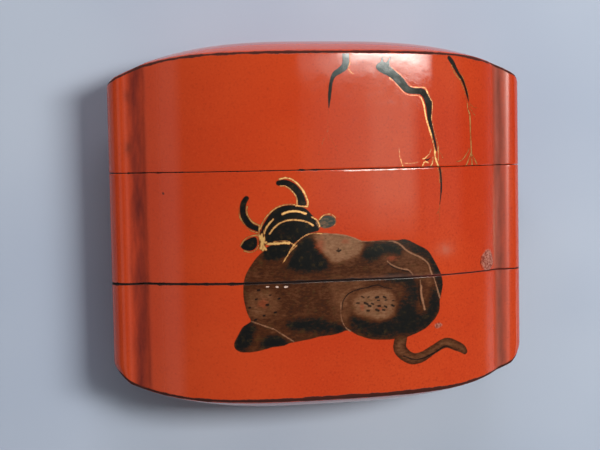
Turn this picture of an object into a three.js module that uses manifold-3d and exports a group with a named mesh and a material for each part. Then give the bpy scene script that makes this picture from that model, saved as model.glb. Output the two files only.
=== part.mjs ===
// Inro: a small flat lacquered case of stacked compartments, worn from a sash on a cord.
// It is a lid, a middle case and a bottom case. Each lower piece carries a thin riser that slides
// into the piece above it, and a cord channel runs down both sides through all three.
// The case lies on its back: X is its width, +Y points to the lid, +Z out of the front panel.
// Units are millimetres.
import * as THREE from "three";
import { mergeVertices } from "three/addons/utils/BufferGeometryUtils.js";
import Module from "manifold-3d";

// Overall size of the closed case.
const width = 72;
const thickness = 21;
const length = 62;

// Cross-section, from the middle of the panel out to the edge.
const crownHalfWidth = 5; // the flat strip down the middle of each panel, on which the case lies
const panelPower = 2.5; // how late the panel starts to fall towards the sides
const runnerRadius = 3.15; // the round bead down each side that holds the cord channel
const fluteRadius = 1.4; // the hollow between the panel and the bead
const fluteRise = THREE.MathUtils.degToRad(20); // slope at which the flute runs into the bead
const fluteFall = THREE.MathUtils.degToRad(50); // slope at which it leaves the panel

// Pillow-shaped ends.
const endFall = 4.16; // how much lower the end is at the flutes than in the middle
const endPower = 3.1;
const endDome = 0.0206; // fall per square millimetre away from the middle plane
const edgeRadius = 0.5;

// Where the pieces part, and how they fit.
const lidSeam = 9.25;
const bottomSeam = -9.05;
const seamGap = 0.2;
const wall = 1.7;
const endWall = 2.2;
const floorThickness = 1.5;
const roomHalfWidth = 27; // where a room's panel wall ends and its round end begins
const riserHeight = 4.5;
const riserThickness = 1;
const riserClearance = 0.25;
const socketSpare = 0.3; // free height above a riser

// Cord channels.
const channelRadius = 1.3;
const mouthFlat = 0.15; // depth of the small flat ground at each mouth
const mouthBlock = 14; // side of the block that cuts it

// Facets.
const panelSteps = 9;
const fluteSteps = 4;
const runnerSteps = 6;
const roomEndSteps = 7;
const channelSides = 20;
const edgeSteps = 2;
const capScales = [0.2, 0.42, 0.64, 0.84]; // the rings of a domed end, as shares of its outline
const overcut = 1; // how far a cut runs past the face it opens

const halfWidth = width / 2;
const halfThickness = thickness / 2;
const halfLength = length / 2;
const runnerX = halfWidth - runnerRadius;
const fluteReach = runnerRadius + fluteRadius;
const fluteCentre = new THREE.Vector2(
  runnerX - fluteReach * Math.sin(fluteRise),
  fluteReach * Math.cos(fluteRise),
);
const shoulder = new THREE.Vector2(
  fluteCentre.x - fluteRadius * Math.sin(fluteFall),
  fluteCentre.y - fluteRadius * Math.cos(fluteFall),
);
const fluteX = fluteCentre.x; // where the flute is deepest
const riserInset = wall + riserClearance;
const roomInset = riserInset + riserThickness;
const beyond = 2 * length;

const wasm = await Module();
wasm.setup();

// Height of the panel above the middle plane, and its slope, at x from 0 to the shoulder.
function panel(x) {
  const share = Math.max(0, x - crownHalfWidth) / (shoulder.x - crownHalfWidth);
  const fall = halfThickness - shoulder.y;
  const slope = (fall * panelPower * share ** (panelPower - 1)) / (shoulder.x - crownHalfWidth);
  return { height: halfThickness - fall * share ** panelPower, slope };
}

// The panel's points from the crown's edge to x = limit, moved in by inset along their normals.
function panelPoints(limit, inset) {
  const points = [];
  for (let i = 0; i <= panelSteps; i++) {
    const x = THREE.MathUtils.lerp(crownHalfWidth, limit, i / panelSteps);
    const { height, slope } = panel(x);
    const normal = new THREE.Vector2(slope, 1).normalize();
    points.push(new THREE.Vector2(x, height).addScaledVector(normal, -inset));
  }
  return points;
}

// Points on an arc about a centre, from angle a to angle b, without its first point.
function arcPoints(centre, radius, a, b, steps) {
  return Array.from({ length: steps }, (_, i) => {
    const angle = THREE.MathUtils.lerp(a, b, (i + 1) / steps);
    const spoke = new THREE.Vector2(Math.cos(angle), Math.sin(angle));
    return spoke.multiplyScalar(radius).add(centre);
  });
}

// A whole outline in (x, z) from its upper right quarter, which ends on the x axis.
function mirrored(quarter) {
  const inner = quarter.slice(0, -1);
  const lowerRight = inner.toReversed().map((p) => new THREE.Vector2(p.x, -p.y));
  const right = [...quarter, ...lowerRight];
  const left = right.toReversed().map((p) => new THREE.Vector2(-p.x, p.y));
  return [...right, ...left];
}

// The outside of the case: panel, flute and cord bead.
function caseOutline(inset) {
  const flute = arcPoints(
    fluteCentre,
    fluteRadius + inset,
    -Math.PI / 2 - fluteFall,
    -Math.PI / 2 + fluteRise,
    fluteSteps,
  );
  const bead = arcPoints(
    new THREE.Vector2(runnerX, 0),
    runnerRadius - inset,
    Math.PI / 2 + fluteRise,
    0,
    runnerSteps,
  );
  return mirrored([...panelPoints(shoulder.x, inset), ...flute, ...bead]);
}

// A room or a riser: the panel moved in by inset, closed by a round end short of the flutes.
function roomOutline(inset) {
  const { height, slope } = panel(roomHalfWidth);
  const tilt = Math.atan(slope);
  const radius = height / Math.cos(tilt);
  const centre = new THREE.Vector2(roomHalfWidth - radius * Math.sin(tilt), 0);
  const end = arcPoints(centre, radius - inset, Math.PI / 2 - tilt, 0, roomEndSteps);
  return mirrored([...panelPoints(roomHalfWidth, inset), ...end]);
}

// How far the lid's end surface lies from the middle of the case, over the point (x, z).
function endReach(x, z) {
  return halfLength - endFall * Math.abs(x / fluteX) ** endPower - endDome * z * z;
}

// A closed surface through rings that have one point count, with a fan over each end.
function loft(rings, first, last) {
  const count = rings[0].length;
  const position = [first, ...rings.flat(), last].flatMap((p) => [p.x, p.y, p.z]);
  const at = (ring, i) => 1 + ring * count + (i % count);
  const lastIndex = 1 + rings.length * count;
  const index = [];
  for (let i = 0; i < count; i++) {
    index.push(0, at(0, i + 1), at(0, i));
    index.push(lastIndex, at(rings.length - 1, i), at(rings.length - 1, i + 1));
    for (let r = 0; r + 1 < rings.length; r++) {
      index.push(at(r, i), at(r + 1, i + 1), at(r + 1, i));
      index.push(at(r, i), at(r, i + 1), at(r + 1, i + 1));
    }
  }
  const geometry = new THREE.BufferGeometry();
  geometry.setAttribute("position", new THREE.Float32BufferAttribute(position, 3));
  return geometry.setIndex(index);
}

// The rings of an end, from its middle out to its outline. reach(x, z) is the end's y.
function endRings(outline, reach) {
  return capScales.map((s) =>
    outline.map((p) => new THREE.Vector3(p.x * s, reach(p.x * s, p.y * s), p.y * s)),
  );
}

// A prism along Y on an outline, with a surface at each end: low(x, z) and high(x, z) give y.
function prism(outline, low, high) {
  const lift = (reach) => outline.map((p) => new THREE.Vector3(p.x, reach(p.x, p.y), p.y));
  const rings = [
    ...endRings(outline, low),
    lift(low),
    lift(high),
    ...endRings(outline, high).toReversed(),
  ];
  return loft(
    rings,
    new THREE.Vector3(0, low(0, 0), 0),
    new THREE.Vector3(0, high(0, 0), 0),
  );
}

// The whole closed case, with a rounded edge round both ends.
function wholeCase() {
  const edge = Array.from({ length: edgeSteps + 1 }, (_, i) => {
    const angle = ((i / edgeSteps) * Math.PI) / 2;
    return { inset: edgeRadius * (1 - Math.cos(angle)), back: edgeRadius * (1 - Math.sin(angle)) };
  });
  const edgeRing = ({ inset, back }, side) =>
    caseOutline(inset).map((p) => new THREE.Vector3(p.x, side * (endReach(p.x, p.y) - back), p.y));
  const inner = caseOutline(edgeRadius);
  const bottomEnd = (x, z) => -endReach(x, z);
  const rings = [
    ...endRings(inner, bottomEnd),
    ...edge.toReversed().map((e) => edgeRing(e, -1)),
    ...edge.map((e) => edgeRing(e, 1)),
    ...endRings(inner, endReach).toReversed(),
  ];
  return loft(
    rings,
    new THREE.Vector3(0, -halfLength, 0),
    new THREE.Vector3(0, halfLength, 0),
  );
}

// A manifold-3d solid from a three.js geometry.
function solid(geometry) {
  const plain = new THREE.BufferGeometry();
  plain.setAttribute("position", geometry.getAttribute("position").clone());
  plain.setIndex(geometry.index);
  const merged = mergeVertices(plain, 1e-4);
  return new wasm.Manifold(
    new wasm.Mesh({
      numProp: 3,
      vertProperties: new Float32Array(merged.attributes.position.array),
      triVerts: new Uint32Array(merged.index.array),
    }),
  );
}

// Everything between y = low and y = high.
function slab(low, high) {
  const box = new THREE.BoxGeometry(2 * width, high - low, 2 * width);
  return solid(box.translate(0, (low + high) / 2, 0));
}

// A straight prism on a room's outline.
function room(inset, low, high) {
  return solid(prism(roomOutline(inset), () => low, () => high));
}

// The cord channel down one side, and the small flat at each of its mouths.
function cordCut(side) {
  const slope = ((endFall * endPower) / fluteX) * (runnerX / fluteX) ** (endPower - 1);
  const tilt = Math.atan(slope);
  const channel = new THREE.CylinderGeometry(channelRadius, channelRadius, beyond, channelSides);
  let cut = solid(channel.translate(side * runnerX, 0, 0));
  for (const end of [-1, 1]) {
    const box = new THREE.BoxGeometry(mouthBlock, mouthBlock, mouthBlock)
      .translate(0, mouthBlock / 2 - mouthFlat, 0)
      .rotateZ(-tilt)
      .translate(runnerX, endReach(runnerX, 0), 0);
    if (end < 0) box.rotateX(Math.PI);
    if (side < 0) box.rotateY(Math.PI);
    cut = cut.add(solid(box));
  }
  return cut;
}

const body = solid(wholeCase()).subtract(cordCut(-1)).subtract(cordCut(1));

// The lid: one bore under its domed end.
function lid() {
  const start = lidSeam + seamGap / 2;
  const bore = prism(
    roomOutline(wall),
    () => start - overcut,
    (x, z) => endReach(x, z) - endWall,
  );
  return body.intersect(slab(start, beyond)).subtract(solid(bore));
}

// The middle case: a riser above, a floor, and a socket below for the bottom case's riser.
function middleCase() {
  const low = bottomSeam + seamGap / 2;
  const high = lidSeam - seamGap / 2;
  const socketTop = bottomSeam + riserHeight + socketSpare;
  const riserTop = lidSeam + riserHeight;
  return body
    .intersect(slab(low, high))
    .add(room(riserInset, high - overcut, riserTop))
    .subtract(room(wall, low - overcut, socketTop))
    .subtract(room(roomInset, socketTop + floorThickness, riserTop + overcut));
}

// The bottom case: a riser above one room with a domed floor.
function bottomCase() {
  const high = bottomSeam - seamGap / 2;
  const riserTop = bottomSeam + riserHeight;
  const hollow = prism(
    roomOutline(roomInset),
    (x, z) => endWall - endReach(x, z),
    () => riserTop + overcut,
  );
  return body
    .intersect(slab(-beyond, high))
    .add(room(riserInset, high - overcut, riserTop))
    .subtract(solid(hollow));
}

// Gloss vermilion lacquer over wood.
function redLacquer() {
  return new THREE.MeshStandardMaterial({ color: 0xbb3a1c, roughness: 0.28, metalness: 0 });
}

function mesh(name, made) {
  const { vertProperties, triVerts, numProp } = made.getMesh();
  const geometry = new THREE.BufferGeometry();
  const layout = new THREE.InterleavedBuffer(vertProperties, numProp);
  geometry.setAttribute("position", new THREE.InterleavedBufferAttribute(layout, 3, 0));
  geometry.setIndex(new THREE.BufferAttribute(triVerts, 1));
  const flat = geometry.toNonIndexed();
  flat.computeVertexNormals();
  const part = new THREE.Mesh(flat, redLacquer());
  part.name = name;
  return part;
}

const inro = new THREE.Group();
inro.add(
  mesh("lid", lid()),
  mesh("middle_case", middleCase()),
  mesh("bottom_case", bottomCase()),
);
inro.position.z = halfThickness; // it lies on the crown strip of its back panel

export default inro;
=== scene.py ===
"""Inro: a small flat lacquered case of three stacked pieces, lying on its back on a pale floor.

X runs across the case, Y towards its lid and Z out of the painted front.
"""
import math

import bmesh
import bpy
import numpy as np
from mathutils import Matrix, Vector


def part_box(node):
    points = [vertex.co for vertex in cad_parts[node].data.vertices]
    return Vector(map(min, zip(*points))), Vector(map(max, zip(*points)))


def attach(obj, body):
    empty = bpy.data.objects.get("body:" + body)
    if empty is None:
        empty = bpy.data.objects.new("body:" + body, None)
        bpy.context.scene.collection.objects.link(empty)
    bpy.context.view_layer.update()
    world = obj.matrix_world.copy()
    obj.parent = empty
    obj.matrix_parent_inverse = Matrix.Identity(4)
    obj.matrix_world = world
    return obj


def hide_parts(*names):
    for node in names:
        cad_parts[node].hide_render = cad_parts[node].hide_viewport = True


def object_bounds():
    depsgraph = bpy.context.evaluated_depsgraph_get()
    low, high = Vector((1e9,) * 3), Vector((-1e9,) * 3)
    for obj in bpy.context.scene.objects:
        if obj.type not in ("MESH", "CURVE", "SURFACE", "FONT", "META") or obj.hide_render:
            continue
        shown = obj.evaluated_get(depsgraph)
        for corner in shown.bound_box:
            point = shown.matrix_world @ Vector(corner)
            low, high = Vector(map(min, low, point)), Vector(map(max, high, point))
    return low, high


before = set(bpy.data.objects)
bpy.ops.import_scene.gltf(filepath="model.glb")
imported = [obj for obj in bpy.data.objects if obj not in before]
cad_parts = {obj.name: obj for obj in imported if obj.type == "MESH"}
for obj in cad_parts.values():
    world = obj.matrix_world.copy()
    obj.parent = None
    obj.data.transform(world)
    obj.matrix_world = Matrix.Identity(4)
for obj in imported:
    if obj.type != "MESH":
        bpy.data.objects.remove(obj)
cad_low, cad_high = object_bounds()

# ------------------------------------------------------------------ bottom case
# The deepest piece: a thin wooden cup with a pillow-shaped underside, lacquered vermilion outside and
# red inside. A dark riser round its mouth slides up into the middle case, and a cord channel runs
# down each side. The painted ox's legs, haunch and tail lie on it.

MM = 0.001  # the case is worked out in millimetres

half_width = cad_high.x / MM
half_length = cad_high.y / MM
half_thickness = cad_high.z / MM / 2

CROWN = 5  # half width of the flat strip down the middle of each panel
PANEL_POWER = 2.5  # how late the panel falls towards the sides
BEAD = 3.15  # radius of the bead that holds the cord channel
FLUTE = 1.4  # radius of the hollow between panel and bead
FLUTE_RISE = math.radians(20)  # the flute's turn from its middle out to the bead
FLUTE_FALL = math.radians(50)  # and from its middle in to the panel
END_FALL = 4.16  # how much lower the ends are at the flutes
END_POWER = 3.1  # how late the ends fall towards the flutes
END_DOME = 0.0206  # how fast the ends fall towards front and back, per square millimetre
EDGE = 0.5  # radius of the worn edge round each end
EASE = 0.1  # radius of the edges at the seams
WORN_CORNERS = ((1, 1.2), (-1, 2.6))  # each end and the radius of the beads' corners there
CORNER_WEAR = 1.2  # how much each millimetre lost at a corner brings it nearer to the edge

# Each point's rim number says how near it is to an end's edge: above 0 on the wall, below on the dome.
BARE_LEVEL = 0.12  # where the ground shows most
RIM_ON_WALL = 0.4  # where the wall meets its rounded edge
DOME_RIM = 8  # how far it falls to the middle of a dome
SEAM_RIM = 50  # at the seams, which have wear of their own
UNPAINTED = 99  # on the bands without paint

WALL = 1.7  # thickness round a socket
END_WALL = 2.2  # thickness of the domed ends
FLOOR_THICKNESS = 1.5
ROOM_HALF_WIDTH = 27  # where a room's panels end and its round ends start
RISER_INSET = 1.95  # from the outside of the case in to a riser
ROOM_INSET = 2.95  # and in to a room
RISER_EASE = 0.15  # how much a riser's top edge is eased
SOCKET_GAP = 0.3  # left free over a riser in its socket
SOCKET_RING = 2  # how far down the socket its next ring lies
SEAM_GAP = 0.08  # the pieces close almost tight
CHANNEL = 1.3  # radius of the cord channel
DRILL_LENGTH = 80  # of the cutter for a channel, longer than the case is high
MOUTH_FLAT = 0.15  # depth of the small flat round a channel's mouth
MOUTH_BLOCK = 14  # edge of the cube that cuts a mouth's flat

FRONT_COLUMNS = 356
BACK_COLUMNS = 110
FLUTE_COLUMNS = 8
BEAD_COLUMNS = 14
EDGE_ROWS = 6
DOME_ROWS = 15
END_PIECE_ROWS = 126  # on the walls of the bottom case and the lid
MIDDLE_ROWS = 108
CHANNEL_SIDES = 48

bead_x = half_width - BEAD
flute_x = bead_x - (BEAD + FLUTE) * math.sin(FLUTE_RISE)
flute_z = (BEAD + FLUTE) * math.cos(FLUTE_RISE)
shoulder_x = flute_x - FLUTE * math.sin(FLUTE_FALL)
shoulder_z = flute_z - FLUTE * math.cos(FLUTE_FALL)


def panel(x, inset):
    """Points (x, z) of the front panel, moved in by inset."""
    share = np.clip((np.abs(x) - CROWN) / (shoulder_x - CROWN), 0, None)
    fall = half_thickness - shoulder_z
    height = half_thickness - fall * share**PANEL_POWER
    slope = np.sign(x) * fall * PANEL_POWER * share ** (PANEL_POWER - 1) / (shoulder_x - CROWN)
    steep = np.hypot(slope, 1)
    return np.stack([x - inset * slope / steep, height - inset / steep], 1)


def arc(centre, radius, start, stop, steps):
    """Points (x, z) of an arc, without its first one."""
    angle = np.linspace(start, stop, steps + 1)[1:]
    return np.stack([centre[0] + radius * np.cos(angle), centre[1] + radius * np.sin(angle)], 1)


def ring(front_half_width, inset, corner):
    """A closed outline: front panel, right side, back panel, left side."""
    across = np.linspace(-front_half_width, front_half_width, FRONT_COLUMNS + 1)
    front = panel(across, inset)
    across = np.linspace(front_half_width, -front_half_width, BACK_COLUMNS + 1)
    back = panel(across, inset) * (1, -1)
    right = np.concatenate([corner, corner[-2::-1] * (1, -1)])
    left = right[::-1] * (-1, 1)
    return np.concatenate([front, right, back, left])


def case_ring(inset):
    """The outside of the case: panels, flutes and beads."""
    quarter = math.pi / 2
    flute = arc(
        (flute_x, flute_z), FLUTE + inset, -quarter - FLUTE_FALL, -quarter + FLUTE_RISE, FLUTE_COLUMNS
    )
    bead = arc((bead_x, 0), BEAD - inset, quarter + FLUTE_RISE, 0, BEAD_COLUMNS)
    return ring(shoulder_x, inset, np.concatenate([flute, bead]))


def room_ring(inset):
    """A room or a riser: the panels moved in, with round ends short of the flutes."""
    step = 0.01
    height, next_height = panel(np.array([ROOM_HALF_WIDTH, ROOM_HALF_WIDTH + step]), 0)[:, 1]
    tilt = math.atan((height - next_height) / step)
    radius = height / math.cos(tilt)
    centre = (ROOM_HALF_WIDTH - radius * math.sin(tilt), 0)
    steps = FLUTE_COLUMNS + BEAD_COLUMNS
    round_end = arc(centre, radius - inset, math.pi / 2 - tilt, 0, steps)
    return ring(ROOM_HALF_WIDTH, inset, round_end)


def end_reach(outline):
    """How far the domed end lies from the middle of the case."""
    x, z = outline.T
    return half_length - END_FALL * np.abs(x / flute_x) ** END_POWER - END_DOME * z * z


OUTSIDE, INSIDE, RAW = 0, 1, 2  # the finishes of a piece's bands


class Turning:
    """One piece's rings in order, each with the finish of the band before it and its rim numbers."""

    def __init__(self):
        self.rings = []
        self.finishes = []
        self.rims = []

    def add(self, outline, y, finish, rim=UNPAINTED):
        y = np.broadcast_to(y, len(outline))
        self.rings.append(np.stack([outline[:, 0], y, outline[:, 1]], 1))
        self.finishes.append(finish)
        self.rims.append(np.broadcast_to(rim, len(outline)))

    def domed_end(self, side, outwards):
        """A pillow end and its rounded edge; side is 1 for the lid's end."""
        inner = case_ring(EDGE)
        bands = []
        for share in np.linspace(0.05, 0.975, DOME_ROWS):
            rim = (share - 1) * DOME_RIM - RIM_ON_WALL
            bands.append((inner * share, side * end_reach(inner * share), rim))
        for turn in np.linspace(math.pi / 2, 0, EDGE_ROWS + 1):
            outline = case_ring(EDGE * (1 - math.cos(turn)))
            back = EDGE * (1 - math.sin(turn))
            rim = RIM_ON_WALL - EDGE * turn
            bands.append((outline, side * (end_reach(outline) - back), rim))
        for outline, y, rim in bands if outwards else bands[::-1]:
            self.add(outline, y, OUTSIDE, rim)

    def outer_wall(self, start, stop, rows):
        """The painted wall between two heights, which may each be an end's own curve."""
        outline = case_ring(0)
        edge = end_reach(outline) - EDGE
        start = np.broadcast_to(start, len(outline))
        stop = np.broadcast_to(stop, len(outline))
        for share in np.linspace(0, 1, rows + 1)[1:-1]:
            y = start + (stop - start) * share
            self.add(outline, y, OUTSIDE, edge - np.abs(y) + RIM_ON_WALL)

    def seam_edge(self, y, side, outwards):
        """The eased edge at a seam, in or out; side is 1 where the piece lies below the seam."""
        turns = [0, math.pi / 4, math.pi / 2]
        for turn in turns if outwards else turns[::-1]:
            outline = case_ring(EASE * (1 - math.sin(turn)))
            self.add(outline, y - side * EASE * (1 - math.cos(turn)), OUTSIDE, SEAM_RIM)

    def bore(self, outline, levels, finish):
        """A straight wall with rings at the given heights."""
        for y in levels:
            self.add(outline, y, finish)

    def closed_end(self, outline, reach, finish, outwards):
        """A room's floor or ceiling."""
        shares = [0.08, 0.35, 0.65, 0.9]
        for share in shares if outwards else shares[::-1]:
            self.add(outline * share, reach(outline * share), finish)


def riser_rings(turning, foot, top):
    """The thin dark wall that slides into the piece above, with its eased top."""
    outside = room_ring(RISER_INSET)
    levels = [foot, foot + 2 * RISER_EASE, top - 2 * RISER_EASE, top - RISER_EASE]
    turning.bore(outside, levels, RAW)
    turning.add(room_ring(RISER_INSET + RISER_EASE), top, RAW)
    turning.add(room_ring(ROOM_INSET - RISER_EASE), top, RAW)


def wear_corners(rings):
    """Rounds off the outer corners of the beads at both ends; says how far each point went."""
    before = rings.copy()
    outline = np.stack([rings[:, :, 0], rings[:, :, 2]], 2).reshape(-1, 2)
    reach = end_reach(outline).reshape(rings.shape[:2])
    for end, radius in WORN_CORNERS:
        across = (np.abs(rings[:, :, 0]) - half_width) / radius + 1
        along = (end * rings[:, :, 1] - reach) / radius + 1
        worn = (across > 0) & (along > 0)
        u, v = across[worn], along[worn]
        round_u = u * np.sqrt(1 - v * v / 2)
        round_v = v * np.sqrt(1 - u * u / 2)
        side = np.sign(rings[:, :, 0][worn])
        rings[worn, 0] = side * (half_width + (round_u - 1) * radius)
        rings[worn, 1] = end * (reach[worn] + (round_v - 1) * radius)
    return np.linalg.norm(rings - before, axis=2)


def shell(name, turning, first_y, last_y):
    """Makes the closed mesh of a piece from its rings, with a fan of triangles at each end."""
    count = len(turning.rings[0])
    rings = np.array(turning.rings)
    lost = wear_corners(rings)
    rims = np.array(turning.rims)
    worn_rims = np.maximum(rims - CORNER_WEAR * lost, BARE_LEVEL)
    turning.rims = np.where(rims > BARE_LEVEL, worn_rims, rims)
    points = np.concatenate([[[0, first_y, 0]], rings.reshape(-1, 3), [[0, last_y, 0]]])
    last = len(points) - 1
    here = np.arange(count)
    after = (here + 1) % count
    starts = 1 + count * np.arange(len(rings) - 1)[:, None]
    quads = np.stack([starts + here, starts + after, starts + count + after, starts + count + here], 2)
    first_fan = np.stack([0 * here, 1 + after, 1 + here], 1)
    end = 1 + count * (len(rings) - 1)
    last_fan = np.stack([0 * here + last, end + here, end + after], 1)
    mesh = bpy.data.meshes.new(name)
    corners = np.concatenate([first_fan.ravel(), quads.reshape(-1), last_fan.ravel()])
    sizes = np.concatenate([np.full(count, 3), np.full(quads.size // 4, 4), np.full(count, 3)])
    points = points * MM
    points[:, 2] += half_thickness * MM
    mesh.vertices.add(len(points))
    mesh.vertices.foreach_set("co", points.ravel())
    mesh.loops.add(len(corners))
    mesh.loops.foreach_set("vertex_index", corners.astype(np.int32))
    mesh.polygons.add(len(sizes))
    mesh.polygons.foreach_set("loop_start", (np.cumsum(sizes) - sizes).astype(np.int32))
    band = np.repeat(np.array(turning.finishes[1:]), count)
    finish = np.concatenate(
        [np.full(count, turning.finishes[0]), band, np.full(count, turning.finishes[-1])]
    )
    mesh.polygons.foreach_set("material_index", finish.astype(np.int32))
    mesh.update(calc_edges=True)
    mesh.validate()
    return mesh


def stamp(mesh, name, values):
    """Writes a number on each point, for the material to read."""
    layer = mesh.attributes.new(name, "FLOAT", "POINT")
    layer.data.foreach_set("value", np.asarray(values, np.float32))


# The brush: distances in millimetres on the flat panel, X across and Y towards the lid.

FAR = 9.0  # as far as a distance is followed


def soften(points, closed=False, steps=4):
    """A smooth line through given points."""
    points = np.array(points, float)
    if closed:
        held = np.concatenate([points[-1:], points, points[:2]])
    else:
        held = np.concatenate([points[:1], points, points[-1:]])
    made = []
    for a, b, c, d in zip(held, held[1:], held[2:], held[3:]):
        for t in np.arange(steps) / steps:
            made.append(
                0.5 * (2 * b + (c - a) * t + (2 * a - 5 * b + 4 * c - d) * t**2)
                + 0.5 * (3 * b - a - 3 * c + d) * t**3
            )
    made.append(points[0] if closed else points[-1])
    return np.array(made)


def from_line(x, y, line):
    """Distance to a line of points (x, y, half width), less the half width."""
    best = np.full(x.shape, FAR)
    for (ax, ay, aw), (bx, by, bw) in zip(line, line[1:]):
        dx, dy = bx - ax, by - ay
        share = np.clip(((x - ax) * dx + (y - ay) * dy) / (dx * dx + dy * dy + 1e-9), 0, 1)
        gap = np.hypot(x - ax - share * dx, y - ay - share * dy) - (aw + share * (bw - aw))
        np.minimum(best, gap, out=best)
    return best


def stroke(x, y, points, half=None):
    """A brush stroke; its points carry their own half widths unless one is given."""
    if half is not None:
        points = [(*p, half) for p in points]
    return from_line(x, y, soften(points))


def strokes(x, y, lines):
    """Several strokes, each (half width, points)."""
    best = np.full(x.shape, FAR)
    for half, points in lines:
        np.minimum(best, stroke(x, y, points, half), out=best)
    return best


def patch(x, y, points):
    """Signed distance to a filled shape, negative inside."""
    line = soften([(*p, 0) for p in points], closed=True, steps=3)
    edge = from_line(x, y, line)
    within = np.zeros(x.shape, bool)
    for (ax, ay, _), (bx, by, _) in zip(line, line[1:]):
        if ay != by:
            within ^= ((ay > y) != (by > y)) & (x < (bx - ax) * (y - ay) / (by - ay) + ax)
    return np.where(within, -edge, edge)


def oval(x, y, cx, cy, rx, ry, turn=0):
    """Rough signed distance to an oval."""
    c, s = math.cos(math.radians(turn)), math.sin(math.radians(turn))
    u = ((x - cx) * c + (y - cy) * s) / rx
    v = (-(x - cx) * s + (y - cy) * c) / ry
    return (np.hypot(u, v) - 1) * min(rx, ry)


def cloud(x, y, cx, cy, rx, ry, power=2):
    """A soft spot of 1 fading outwards."""
    return np.exp(-(np.hypot((x - cx) / rx, (y - cy) / ry) ** power))


OX_BODY = [
    (-14.9, -7.2), (-13.6, -5.2), (-11.8, -3.6), (-9.2, -2.9), (-6.8, -2.6), (-5.5, -1.4), (-3.5, -1.0),
    (-1, -1.2), (1.5, -1.5), (3.5, -2.2), (5, -2.7), (8, -2.6), (10.5, -2.7), (12, -2.6), (14, -3.5),
    (16, -4.6), (17.2, -6.2), (18.2, -8), (18.9, -10), (18.7, -11.8), (18.3, -13.2), (18.2, -14.8),
    (17.4, -16.2), (15.5, -17.8), (13, -18.8), (11.5, -19.1), (9, -19.3), (6, -19.1), (3.5, -18.3),
    (1.8, -17.4), (0, -17.9), (-3, -18.2), (-5, -18.6), (-8, -19.0), (-9, -19.4), (-11, -19.6),
    (-13, -20.1), (-15, -20.3), (-16.2, -20.2), (-17, -19.6), (-17.1, -18.7), (-16.5, -17.4),
    (-15.8, -16.2), (-15, -15.6), (-14.4, -15.1), (-14.9, -14), (-15.4, -12), (-15.5, -10), (-15.3, -8.3),
]  # fmt: skip
OX_TAIL = [
    (11, -19.1, 1.1), (10.8, -21, 1.15), (12.5, -22.6, 1.0), (14.5, -22.7, 0.9), (17, -21.5, 0.8),
    (19.3, -20.6, 0.85), (21.2, -21.2, 0.85), (22.6, -21.9, 0.75), (23.3, -22.5, 0.5),
]  # fmt: skip
COAT_TONE = 0.37  # brown
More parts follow.
